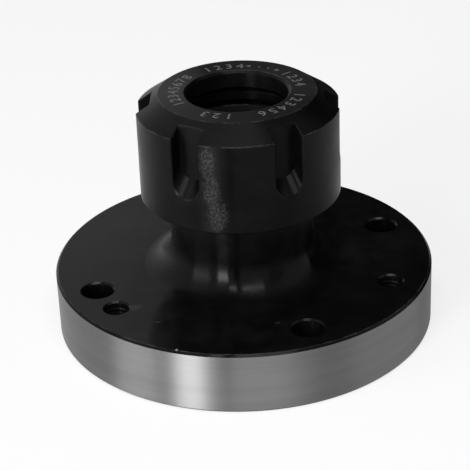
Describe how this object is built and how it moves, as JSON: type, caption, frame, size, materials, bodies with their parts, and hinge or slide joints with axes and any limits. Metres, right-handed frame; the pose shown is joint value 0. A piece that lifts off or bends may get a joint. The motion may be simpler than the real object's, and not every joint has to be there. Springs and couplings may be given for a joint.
{
  "type": "collet chuck holder",
  "caption": "Flange-mounted spring-collet chuck: a thick round flange with a ground rim, a filleted neck and a slotted clamping nut over a tapered socket.",
  "frame": {"origin": "centre of the flange's rear mounting face", "axes": "+Z along the spindle axis from the mounting face towards the clamping nut; -Y is the front"},
  "size_m": [0.067, 0.067, 0.0433],
  "materials": {
    "chuck_body": "satin",
    "clamping_nut": "satin"
  },
  "bodies": {
    "body": {"chuck_body": "chuck_body"},
    "nut": {"clamping_nut": "clamping_nut"}
  },
  "joints": [
    {"name": "nut_turn", "type": "hinge", "parent": "body", "child": "nut", "pos_m": [0, 0, 0.034], "axis": [0, 0, 1], "range_deg": [0, 2340]}
  ]
}
